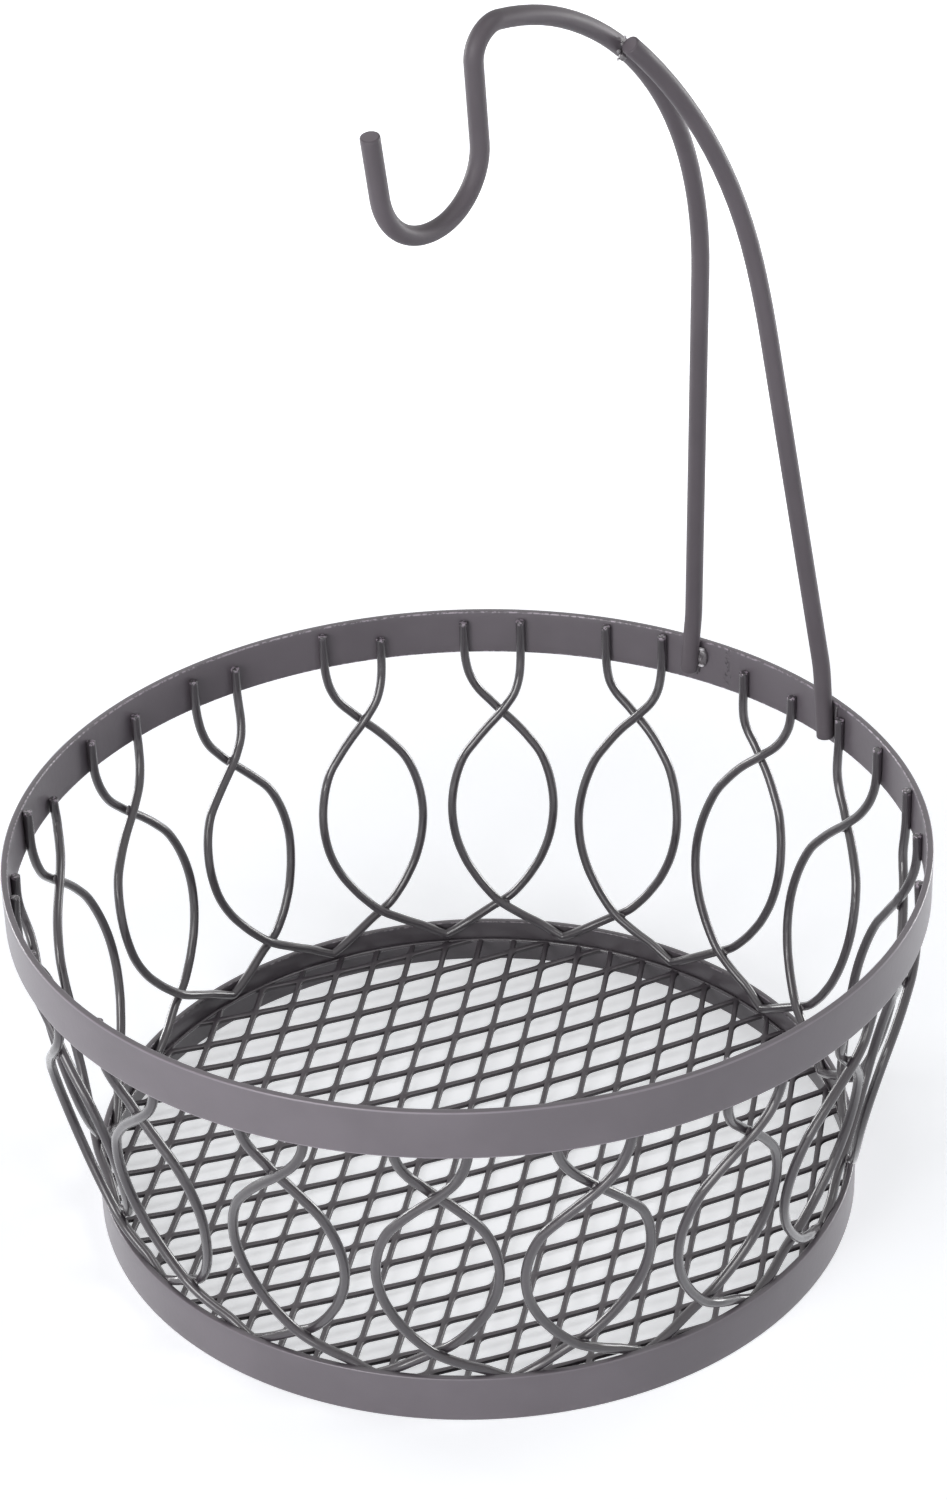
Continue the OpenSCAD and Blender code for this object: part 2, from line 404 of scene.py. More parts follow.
@dataclass(frozen=True)
class Paint:
    """Dark warm grey baked paint: soft cloudy tone, fine orange peel and a thin gloss.

    The colour is a mix of two tones by a cloud a few centimetres wide and by a fine grain. The
    relief is a sum of two noises, the flow of the paint and its dust.
    """

    name: str
    tone: tuple[float, float, float]
    contrast: float = 0.10
    gloss: float = 0.42
    cloud: float = 0.030
    peel_mm: float = 1.6
    peel_depth: float = 0.10
    grain_mm: float = 0.35
    grain_depth: float = 0.05
    coat: float = 0.4
    coat_rough: float = 0.24
    shine: float = 0.5
    painted_light_factor: float = 1.5
    polish: float = 0.10
    pit_shade: float = 0.5
    pit_depth: float = 1.6
    bump_mm: float = 0.6

    def _shade(self, factor: float) -> tuple[float, float, float, float]:
        """The paint's tone made lighter or darker."""
        return (*(min(1.0, channel * factor) for channel in self.tone), 1.0)

    def painted_light_mask(self, nodes: Nodes, place: Value) -> Value | None:
        """Mask of painted light or shade, where the colour is made lighter or darker and the roughness
        lower, for finishes that have it.
        """
        return None

    def painted_shade(self, nodes: Nodes, place: Value, colour: Value) -> Value:
        """Colour with a painted shade that depends on the place, for finishes that have one."""
        return colour

    def pits(self, nodes: Nodes, place: Value) -> Value | None:
        """Mask of the dark pits in the metal, for finishes that have them."""
        return None

    def material(self) -> bpy.types.Material:
        """Builds the finish.

        Returns:
            The material, with its pattern on the piece's own coordinates.
        """
        nodes = Nodes(self.name)
        place = nodes.place()
        cloud = nodes.noise(place, self.cloud, 3.0)
        grain = nodes.noise(place, self.grain_mm * MM, 2.0, 0.6)
        tone = (cloud.band(0.35, 0.65) * 0.7) + (grain * 0.3)
        colour = nodes.mix(tone, self._shade(1 - self.contrast), self._shade(1 + self.contrast))
        # A painted shade by place, for finishes that have one.
        colour = self.painted_shade(nodes, place, colour)
        rough = nodes.noise(place, self.cloud / 2, 2.0) * 0.10 + (self.gloss - 0.05)
        # Painted light or shade: the mask lightens or darkens the colour by a factor, and also lowers the
        # roughness.
        edge = self.painted_light_mask(nodes, place)
        if edge is not None:
            colour = nodes.mix(edge, colour, self._shade(self.painted_light_factor))
            rough = rough - edge * self.polish
        peel = nodes.noise(place, self.peel_mm * MM, 1.0, 0.4) * self.peel_depth
        relief = peel + grain * self.grain_depth
        pits = self.pits(nodes, place)
        if pits is not None:
            colour = nodes.mix(pits, colour, self._shade(self.pit_shade))
            relief = relief - pits * self.pit_depth
        bump_inputs = {"Strength": 0.5, "Distance": self.bump_mm * MM, "Height": relief}
        bump = nodes.add("ShaderNodeBump", {}, bump_inputs)
        inputs = {
            "Base Color": colour, "Roughness": rough, "Normal": bump, "Metallic": 0.0,
            "IOR": 1.5, "Specular IOR Level": self.shine,
            "Coat Weight": self.coat, "Coat Roughness": self.coat_rough,
        }
        return nodes.finish(nodes.add("ShaderNodeBsdfPrincipled", {}, inputs))


@dataclass(frozen=True)
class StripPaint(Paint):
    """Paint on a rolled strip: painted highlights and more gloss in beads along its edges, a painted shade
    on its inner face, and pits at its welded seam.
    """

    edges: tuple[float, ...] = ()
    reach: float = 0.5
    seam_deg: float | None = None
    seam_wide_deg: float = 0.60
    inside: float = 0.0
    inner_shade: float = 1.0

    def painted_shade(self, nodes: Nodes, place: Value, colour: Value) -> Value:
        """Colour with the inner face darkened, a painted shade where less light reaches."""
        x, y, _ = nodes.split(place)
        inner = 1 - (x * x + y * y).band((self.inside * MM + 0.0002) ** 2, (self.inside * MM + 0.0016) ** 2)
        settings = {"data_type": "RGBA", "blend_type": "MULTIPLY", "clamp_factor": True}
        shade = (self.inner_shade,) * 3 + (1.0,)
        return nodes.add("ShaderNodeMix", settings, {0: inner, 6: colour, 7: shade}, 2)

    def painted_light_mask(self, nodes: Nodes, place: Value) -> Value | None:
        """Mask of a thin painted highlight line beside each edge, which is also glossier: even outside, and
        broken into beads by a noise inside.
        """
        x, y, height = nodes.split(place)
        inner = 1 - (x * x + y * y).band((self.inside * MM + 0.0006) ** 2, (self.inside * MM + 0.0014) ** 2)
        beads = nodes.noise(place, 0.0013, 2.0).band(0.42, 0.62) * inner + (1 - inner) * 0.35
        mask = None
        for edge in self.edges:
            away = abs(height - edge * MM)
            line = away.band(0.0, 0.08 * MM) * (1 - away.band(self.reach * 0.6 * MM, self.reach * MM))
            mask = line if mask is None else mask + line
        return mask * beads

    def pits(self, nodes: Nodes, place: Value) -> Value | None:
        """One in the pits of the seam, a rough line up the strip's inner face.

        The seam is where the angle round the axis is near the seam's own, within a noise.

        Args:
            nodes: Tree of the material.
            place: Position in the piece's own frame.

        Returns:
            The mask, or None for a strip without a seam.
        """
        if self.seam_deg is None:
            return None
        x, y, _ = nodes.split(place)
        angle = nodes.add("ShaderNodeMath", {"operation": "ARCTAN2"}, {0: y, 1: x})
        wander = nodes.noise(place, 0.005, 2.0) * math.radians(1.2) - math.radians(0.6)
        off = abs(angle - math.radians(self.seam_deg) + wander)
        wide = math.radians(self.seam_wide_deg)
        inner = 1 - (x * x + y * y).band((self.inside * MM + 0.0001) ** 2, (self.inside * MM + 0.0006) ** 2)
        grain = nodes.noise(place, 0.0012, 2.0, 0.7).band(0.50, 0.62)
        return (1 - off.band(wide * 0.4, wide)) * grain * inner


@dataclass(frozen=True)
class WirePaint(Paint):
    """Paint on the wires, with specks near the sheared ends painted light as glints."""

    def painted_light_mask(self, nodes: Nodes, place: Value) -> Value | None:
        """Specks of a fine noise where the points' marks are one, near a wire's end: painted glints."""
        near = nodes.add("ShaderNodeAttribute", {"attribute_name": "mark"}, {}, "Fac")
        return near * nodes.noise(place, 0.0011, 1.0).band(0.50, 0.60)


@dataclass(frozen=True)
class RodPaint(Paint):
    """Paint on the rods, with the flat cut ends painted lighter: a painted highlight, as if lit from above.
    """

    def painted_light_mask(self, nodes: Nodes, place: Value) -> Value | None:
        """The points' marks, which are one on the cut ends, where the highlight is painted."""
        return nodes.add("ShaderNodeAttribute", {"attribute_name": "mark"}, {}, "Fac")


@dataclass(frozen=True)
class MeshPaint(Paint):
    """Paint on the expanded metal, with a painted shade on the cut walls of the openings and on the
    underside.
    """

    def painted_light_mask(self, nodes: Nodes, place: Value) -> Value | None:
        """The points' marks, which are one on the cut walls and the underside, where the shade is painted.
        """
        return nodes.add("ShaderNodeAttribute", {"attribute_name": "mark"}, {}, "Fac")


# Sub-assemblies


@dataclass
class Bands:
    """The rim and the base: one strip rolled into two rings, in millimetres."""

    rim_d: float = 270.0
    base_d: float = 231.0
    side_h: float = 122.0
    height: float = 15.0
    thickness: float = 2.0
    corner: float = 0.42
    wobble: float = 0.16
    seam_deg: float = 96.7
    segments: int = 320
    sharp_deg: float = 60.0
    rim_seed: int = 3
    base_seed: int = 5

    @property
    def rim_inside(self) -> float:
        """Radius of the rim's inner face."""
        return self.rim_d / 2 - self.thickness

    @property
    def base_inside(self) -> float:
        """Radius of the base band's inner face."""
        return self.base_d / 2 - self.thickness

    def _profile(self) -> np.ndarray:
        """Outline of the strip: a rectangle with a quarter circle at each corner.

        Returns:
            Rows of distance in from the outer face and height, all the way round.
        """
        r, t, h = self.corner, self.thickness, self.height
        turn = np.linspace(0, np.pi / 2, 6)
        low_out = np.stack([r - r * np.sin(turn), r - r * np.cos(turn)], 1)
        low_in = np.stack([t - r + r * np.sin(turn), r - r * np.cos(turn)], 1)
        side = np.linspace(r, h - r, 6)[1:-1]
        outside = np.stack([np.zeros(4), side], 1)
        inside = np.stack([np.full(4, t), side[::-1]], 1)
        high_out = low_out[::-1] * [1, -1] + [0, h]
        high_in = low_in[::-1] * [1, -1] + [0, h]
        return np.vstack([low_out, outside, high_out, high_in[::-1], inside, low_in[::-1]])

    def ring(self, name: str, outer_d: float, low: float, seed: int) -> bpy.types.Object:
        """Carries the strip's outline round a circle.

        The ring's radius wobbles inwards by a soft noise of the angle, as rolled strip does.

        Args:
            name: Name of the piece.
            outer_d: Outer diameter.
            low: Height of the lower edge.
            seed: Seed of the wobble.

        Returns:
            The ring.
        """
        outline = self._profile()
        turn = np.arange(self.segments) * 2 * np.pi / self.segments
        inset = self.wobble * 0.5 * (1 + soft_noise(turn, seed, 9))
        radius = outer_d / 2 - inset[:, None] - outline[None, :, 0]
        height = np.broadcast_to(low + outline[None, :, 1], radius.shape)
        points = np.stack([radius * np.cos(turn)[:, None], radius * np.sin(turn)[:, None], height], -1)
        quads = grid_quads(self.segments, len(outline), True, True)[:, ::-1]
        return add_piece(name, points.reshape(-1, 3) * MM, [quads], self.sharp_deg)

    def build(self) -> list[bpy.types.Object]:
        """Makes both rings and dresses them.

        Returns:
            The two rings.
        """
        rim = self.ring("rim_band_strip", self.rim_d, self.side_h - self.height, self.rim_seed)
        base = self.ring("base_band_strip", self.base_d, 0.0, self.base_seed)
        rim_edges = (self.side_h - self.height, self.side_h)
        tone = (0.145, 0.127, 0.145)
        # Both strips get painted highlight lines along their edges and a painted shade on their inner
        # faces, slight on the rim and deep on the base.
        rim_paint = StripPaint(
            "rim_paint", tone, painted_light_factor=2.9, polish=0.26, edges=rim_edges, reach=0.65,
            seam_deg=self.seam_deg, inside=self.rim_inside, inner_shade=0.92,
        ).material()
        base_paint = StripPaint(
            "base_paint", tone, painted_light_factor=1.8, polish=0.26, edges=(0.0, self.height),
            inside=self.base_inside, inner_shade=0.55,
        ).material()
        for piece, node, paint in ((rim, "rim_band", rim_paint), (base, "base_band", base_paint)):
            piece.data.materials.append(paint)
            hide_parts(node)
        return [rim, base]


@dataclass
class SideWires:
    """The bent wires between the bands, each a narrow V whose two arms cross both neighbours."""

    bands: Bands
    count: int = 18
    diameter: float = 2.9
    end_drop: float = 4.0
    floor_top: float = 8.6
    lift: float = 1.7
    gap: float = 0.12
    corner_ease: float = 5.0
    sides: int = 14
    span_steps: int = 6
    # Heights in shares of the way up: where the turn of an oval's side is full, where the turn of
    # the upper end sets in and over how much, and from where the end's own height counts
    belly_rise: float = 0.36
    lean_rise: float = 0.62
    lean_over: float = 0.30
    end_rise: float = 0.85
    # Height and reach of the bell curve of a crossing's lift
    crossing_rise: float = 0.70
    crossing_reach: float = 0.13
    # One arm from its bend to its end: distance from the bend in shares of the pitch, height in
    # shares of the way up, distance off the wall in shares of a half crossing
    arm_shares: tuple[tuple[float, float, float], ...] = (
        (0.000, 0.000, 0.00), (0.035, 0.005, 0.00), (0.100, 0.018, 0.00), (0.200, 0.040, 0.10),
        (0.300, 0.061, 0.55), (0.400, 0.083, 0.90), (0.500, 0.105, 1.00), (0.577, 0.128, 1.00),
        (0.663, 0.165, 1.00), (0.731, 0.201, 1.00), (0.814, 0.257, 1.00), (0.879, 0.332, 1.00),
        (0.900, 0.417, 1.00), (0.871, 0.502, 1.00), (0.800, 0.581, 1.00), (0.700, 0.637, 1.00),
        (0.600, 0.683, 1.00), (0.500, 0.723, 1.00), (0.444, 0.748, 1.00), (0.366, 0.787, 0.75),
        (0.318, 0.830, 0.35), (0.296, 0.877, 0.08), (0.290, 0.930, 0.00), (0.290, 1.000, 0.00),
    )
    # How each wire stands off the even pattern, first its arm that lies outside, then the other:
    # turn of the oval's side and of the upper end in degrees, and the end's height in millimetres
    bends: tuple[tuple[float, ...], ...] = (
        (0.2, -0.1, -0.8, 0.9, -1.2, 3.0), (0.1, 0.1, 0.9, 1.6, 2.6, 1.6),
        (0.3, 0.9, 1.2, 1.4, 1.0, -2.6), (0.6, 1.7, 1.3, 3.2, 2.0, -1.0),
        (2.2, 2.4, 1.7, 0.9, 0.4, -1.2), (0.7, 4.8, 2.0, 1.3, 0.5, -5.5),
        (0.6, 0.4, 2.2, 2.0, 3.0, -2.6), (0.2, -1.9, -1.0, 0.6, -2.0, -1.5),
        (0.5, -2.6, 0.9, -0.4, -3.0, 1.0), (-0.6, -0.4, 0.5, 1.1, -1.0, 0.0),
        (0.4, 0.4, 1.5, 0.3, 1.5, -1.5), (0.4, 1.0, 0.8, -0.9, -2.0, 1.0),
        (-0.4, 1.9, 0.2, 0.9, 0.5, 2.0), (0.5, 1.3, 1.2, 0.4, 0.0, -1.0),
        (-1.0, 0.6, -0.5, 0.8, -4.0, -4.0), (-0.3, -2.4, -1.0, 0.2, 0.5, -2.0),
        (0.6, -0.6, -0.8, -1.2, 3.0, 2.3), (0.8, -0.5, 0.4, -1.1, 0.6, -2.2),
    )
    # Height by which an upper crossing lies off the pattern, in hundredths of the way up, by the
    # wire before it
    crossing_lift: tuple[float, ...] = (
        2.2, -0.6, -0.6, -1.8, -1.0, 0.5, 1.2, -0.6, 0.8, 0.2, 0.0, -2.5, -0.2, 0.0, -1.2, 0.6, -0.4, 2.2,
    )
    # Places where the wall of wires stands out: azimuth and half width in degrees, and millimetres
    swells: tuple[tuple[float, float, float], ...] = ((242.0, 18.0, 2.6), (32.0, 18.0, 2.2))

    @property
    def low_z(self) -> float:
        """Height of the middle of a wire at its bend."""
        return self.floor_top + self.lift + self.diameter / 2

    def wall(self, z: np.ndarray) -> np.ndarray:
        """Radius of the wall's middle at each height: upright in the bands, a cone between.

        Each of the two corners is rounded by a parabola that touches both lines.
        """
        seat, ease = self.diameter / 2 + self.gap, self.corner_ease
        low, high = self.bands.base_inside - seat, self.bands.rim_inside - seat
        tall, strip = self.bands.side_h, self.bands.height
        start, end = z - strip, z - (tall - strip)
        bent = [
            np.where(np.abs(t) < ease, (t + ease) ** 2 / (4 * ease), np.maximum(t, 0))
            for t in (start, end)
        ]
        return low + (high - low) * (bent[0] - bent[1]) / (tall - 2 * strip)

    def path(self, k: int) -> np.ndarray:
        """Middle line of wire k.

        The shares of both arms are run through one smooth curve and turned into an angle, a
        height and a radius at each point. The turn of an oval's side fades in over the lowest
        third, and gives way near the top to the turn of the upper end. Both fades are cosines. A
        crossing's lift is a bell curve of the height. A swell is a half sine of the height and a
        bell curve of the angle.

        Args:
            k: Number of the wire, from 0.

        Returns:
            Rows of points in millimetres.
        """
        shares = np.array(self.arm_shares)
        both = np.vstack([shares[:0:-1] * [-1, 1, 1], shares])
        sign = np.where(np.arange(len(both)) < len(shares) - 1, 1.0, -1.0)
        sign[len(shares) - 1] = 0
        both[:, 2] *= sign
        curve = spline(both, self.span_steps)
        pitch = 2 * np.pi / self.count
        outer = curve[:, 0] < 0
        side_out, side_in, tip_out, tip_in, end_out, end_in = self.bends[k]
        pairs = ((side_out, side_in), (tip_out, tip_in), (end_out, end_in))
        side, tip, end = (np.where(outer, a, b) for a, b in pairs)
        before = (k - 1) % self.count
        lift = np.where(outer, self.crossing_lift[before], self.crossing_lift[k])
        bell = np.exp(-((curve[:, 1] - self.crossing_rise) / self.crossing_reach) ** 2)
        rise = curve[:, 1] + lift / 100 * bell
        belly = 0.5 - 0.5 * np.cos(np.pi * np.clip(rise / self.belly_rise, 0, 1))
        lean = 0.5 - 0.5 * np.cos(np.pi * np.clip((rise - self.lean_rise) / self.lean_over, 0, 1))
        turn = np.radians(side * belly * (1 - lean) + tip * lean)
        angle = np.pi / 2 + (k + 0.5) * pitch + curve[:, 0] * pitch + turn
        top = self.bands.side_h - self.end_drop
        near_end = np.clip((rise - self.end_rise) / (1 - self.end_rise), 0, 1)
        z = self.low_z + rise * (top - self.low_z) + end * near_end
        off = curve[:, 2] * (self.diameter / 2 + self.gap / 2)
        radius = self.wall(z) + off
        for at, wide, size in self.swells:
            away = (np.degrees(angle) - at + 180) % 360 - 180
            radius += size * np.sin(np.pi * np.clip(rise, 0, 1)) * np.exp(-((away / wide) ** 2))
        return np.stack([radius * np.cos(angle), radius * np.sin(angle), z], 1)

    def crossings(self, k: int) -> np.ndarray:
        """Places where wire k crosses the next one, the low one first.

        Both arms have as many points, and points of the same number lie at the same height. They
        cross between the two points where the difference of their angles changes its sign.

        Args:
            k: Number of the wire, from 0.

        Returns:
            One row per crossing, half way between the two wires.
        """
        first, second = self.path(k), self.path((k + 1) % self.count)
        middle = len(first) // 2
        first, second = first[middle:], second[middle::-1]
        ahead = first[:, 0] * second[:, 1] - first[:, 1] * second[:, 0]
        at = np.flatnonzero(ahead[:-1] * ahead[1:] < 0)
        share = (ahead[at] / (ahead[at] - ahead[at + 1]))[:, None]
        mean = (first + second) / 2
        return mean[at] * (1 - share) + mean[at + 1] * share

    def build(self) -> list[bpy.types.Object]:
        """Makes and dresses every wire.

        Returns:
            The wires.
        """
        # The specks at the wire ends are painted glints, nine times the paint's tone.
        paint = WirePaint(
            "wire_paint", (0.044, 0.037, 0.044), contrast=0.14, gloss=0.38, shine=0.4, coat=1.0,
            coat_rough=0.09, peel_mm=2.2, peel_depth=0.24, painted_light_factor=9.0,
        ).material()
        pieces = []
        for k in range(self.count):
            path = self.path(k)
            facing = path * [1, 1, 0]
            points, faces = Tube(path, unit(facing), self.diameter / 2, self.sides).surface()
            # Marks near each end, where the glints are painted.
            near = np.minimum(*(np.linalg.norm(points - end, axis=1) for end in (path[0], path[-1])))
            marks = np.clip((self.diameter * 0.6 - near) / (self.diameter * 0.1), 0, 1)
            piece = add_piece(f"side_wire_{k + 1:02d}_round", points * MM, faces, marks=marks)
            piece.data.materials.append(paint)
            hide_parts(f"side_wire_{k + 1:02d}")
            pieces.append(piece)
        return pieces


@dataclass
class MeshFloor:
    """The dished disc of expanded metal, in millimetres."""

    bands: Bands
    long: float = 22.2
    short: float = 12.7
    strand: float = 1.7
    sheet: float = 1.2
    border: float = 1.4
    height: float = 7.4
    sag: float = 6.6
    turn_deg: float = 95.2
    gap: float = 0.12
    middle_shares: tuple[float, float] = (0.016, 0.149)
    corner_r: float = 3.2
    edge_r: float = 0.30
    border_points: int = 720
    border_sides: int = 10
    border_mark: float = 0.3
    # Least size and swell of the border's bead, and how far it rises and falls
    bead_r: float = 0.50
    bead_swell: float = 0.25
    bead_wander: float = 0.25

    @property
    def outside(self) -> float:
        """Radius of the disc."""
        return self.bands.base_inside - self.gap

    def dish(self, flat: np.ndarray) -> np.ndarray:
        """Height of the sheet's middle: a ball's shape, lowest in the centre of the disc."""
        ball = (self.outside**2 + self.sag**2) / (2 * self.sag)
        reach = np.minimum((flat**2).sum(-1), self.outside**2)
        return self.height + self.sheet / 2 - self.sag + ball - np.sqrt(ball**2 - reach)

    def _opening(self) -> np.ndarray:
        """Quarter of an opening's outline, from its pointed end to the middle of a knot.

        The strand's edge is a straight line parallel to the strand. It ends where a round corner
        begins, which meets the short diagonal square.

        Returns:
            Rows of places along the long and the short diagonal.
        """
        slope = math.atan2(self.short, self.long)
        tip = self.long / 2 - self.strand / 2 / math.sin(slope)
        centre = tip * math.tan(slope) - self.corner_r / math.cos(slope)
        turn = np.array([slope, slope / 2, 0.0])
        arc = np.stack([self.corner_r * np.sin(turn), centre + self.corner_r * np.cos(turn)], 1)
        start = np.array([[tip, 0.0]])
        return np.vstack([start, (start + arc[:1]) / 2, arc])

    def _cell(self) -> tuple[np.ndarray, np.ndarray]:
        """Outlines of one cell.

        Returns:
            The opening and the diamond round it, point by point, all the way round.
        """
        quarter = self._opening()
        share = np.linspace(0, 1, len(quarter))[:, None]
        edge = (1 - share) * [self.long / 2, 0] + share * [0, self.short / 2]
        rounds = []
        for line in (quarter, edge):
            half = np.vstack([line[:-1], (line * [-1, 1])[::-1][:-1]])
            rounds.append(np.vstack([half, -half]))
        return rounds[0], rounds[1]

    def surface(self) -> tuple[np.ndarray, list[np.ndarray], np.ndarray]:
        """Works out the net: a rounded half strand round every opening.

        The half strand's outline runs from the middle of the top, over a rounded edge, down the
        wall of the opening, and back to the middle of the underside. What would reach past the
        disc's edge is drawn in to it.

        Returns:
            Points in millimetres, the quads, and marks that are one off the top of the sheet, where the
            finish paints a shade.
        """
        opening, diamond = self._cell()
        along = unit(np.roll(opening, -1, 0) - np.roll(opening, 1, 0))
        inward = np.stack([-along[:, 1], along[:, 0]], 1)
        r, half = self.edge_r, self.sheet / 2
        rows = [
            (diamond, half), (opening - inward * r, half), (opening, half - r),
            (opening, -half), (diamond, -half),
        ]
        cell = np.stack([flat for flat, _ in rows])
        rise = np.array([height for _, height in rows])
        reach = math.ceil(2 * self.outside / self.short)
        count_off = np.arange(-reach, reach + 1)
        i, j = (part.ravel() for part in np.meshgrid(count_off, count_off))
        middle = np.stack([
            ((i + j) / 2 + self.middle_shares[0]) * self.long,
            ((i - j) / 2 + self.middle_shares[1]) * self.short,
        ], 1)
        inside = np.linalg.norm(middle, axis=1) < self.outside + self.long * 0.35
        middle = middle[inside]
        flat = middle[:, None, None] + cell[None]
        a = math.radians(self.turn_deg)
        flat = flat @ np.array([[math.cos(a), math.sin(a)], [-math.sin(a), math.cos(a)]])
        far = np.linalg.norm(flat, axis=-1, keepdims=True)
        limit = self.outside - 0.05
        flat = np.where(far > limit, flat * limit / far, flat)
        z = self.dish(flat) + rise[None, :, None]
        points = np.concatenate([flat, z[..., None]], -1)
        quads = grid_quads(len(rows), len(opening), False, True)
        count = cell.shape[0] * cell.shape[1]
        faces = (np.arange(len(middle))[:, None, None] * count + quads[None]).reshape(-1, 4)
        # Marks of one on the walls and the underside carry the painted shade.
        marks = np.broadcast_to(np.array([0.0, 0.0, 1.0, 1.0, 1.0])[None, :, None], z.shape)
        return points.reshape(-1, 3), [faces], marks.ravel()

    def border_surface(self) -> tuple[np.ndarray, list[np.ndarray], np.ndarray]:
        """Works out the uneven bead of weld and paint along the wall.

        A small circle, whose size and height wander by a soft noise, is carried round the disc.

        Returns:
            Points in millimetres, the quads, and the marks.
        """
        turn = np.linspace(0, 2 * np.pi, self.border_points, endpoint=False)
        swell = 0.5 + 0.5 * soft_noise(turn * 3, 11, 23)
        size = self.bead_r + self.bead_swell * swell
        centre = self.outside - size
        z = self.height + self.sheet / 2 + self.bead_wander * soft_noise(turn * 2, 12, 17)
        around = np.arange(self.border_sides) * 2 * np.pi / self.border_sides
        radius = centre[:, None] + size[:, None] * np.cos(around)
        height = z[:, None] + size[:, None] * 1.1 * np.sin(around)
        points = np.stack([radius * np.cos(turn)[:, None], radius * np.sin(turn)[:, None], height], -1)
        points = points.reshape(-1, 3)
        quads = grid_quads(self.border_points, self.border_sides, True, True)[:, ::-1]
        return points, [quads], np.full(len(points), self.border_mark)

    def build(self) -> list[bpy.types.Object]:
        """Makes and dresses the floor.

        Returns:
            The net and its border.
        """
        # The net's cut walls and underside get a painted shade, half the paint's tone.
        paint = MeshPaint(
            "mesh_paint", (0.080, 0.069, 0.079), contrast=0.14, gloss=0.36, coat=0.2, painted_light_factor=0.5
        )
        bead_paint = Paint(
            "bead_paint", paint.tone, contrast=0.2, gloss=0.22, coat=0.6, peel_mm=0.9, peel_depth=0.5
        )
        pieces = []
        surfaces = (("floor_net", self.surface()), ("floor_border", self.border_surface()))
        for name, (points, faces, marks) in surfaces:
            piece = add_piece(name, points * MM, faces, 70.0, marks)
            merge_doubles(piece)
            piece.data.materials.append((bead_paint if pieces else paint).material())
            pieces.append(piece)
        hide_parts("mesh_floor")
        return pieces


def merge_doubles(piece: bpy.types.Object, distance: float = 2e-6, sharp_deg: float = 50.0) -> None:
    """Merges points that lie on each other.

    Args:
        piece: The piece to clean.
        distance: Greatest distance between merged points, in metres.
        sharp_deg: Edges that turn more than this stay sharp.
    """
    mesh = bmesh.new()
    mesh.from_mesh(piece.data)
    bmesh.ops.remove_doubles(mesh, verts=mesh.verts, dist=distance)
    bmesh.ops.dissolve_degenerate(mesh, dist=distance, edges=mesh.edges)
    mesh.to_mesh(piece.data)
    mesh.free()
    piece.data.shade_smooth()
    piece.data.set_sharp_from_angle(angle=math.radians(sharp_deg))


@dataclass(frozen=True)
class Step:
    """One step of a bent rod: a straight length, or a bend of a radius through a turn."""

    size: float
    turn: float = 0.0

    def points(self, heading: float) -> np.ndarray:
        """Points of the step from its start, which is left out.

        Args:
            heading: Heading at the start, in degrees from upright towards the middle.

        Returns:
            Rows of distance outwards and distance up, in millimetres.
        """
        a = math.radians(heading)
        if self.turn == 0:
            return np.linspace(0, self.size, 9)[1:, None] * [-math.sin(a), math.cos(a)]
        count = max(6, int(abs(self.turn) / 2.5))
        b = a + np.radians(np.linspace(0, self.turn, count + 1)[1:])
        bend = math.copysign(self.size, self.turn)
        return bend * np.stack([np.cos(b) - math.cos(a), np.sin(b) - math.sin(a)], 1)


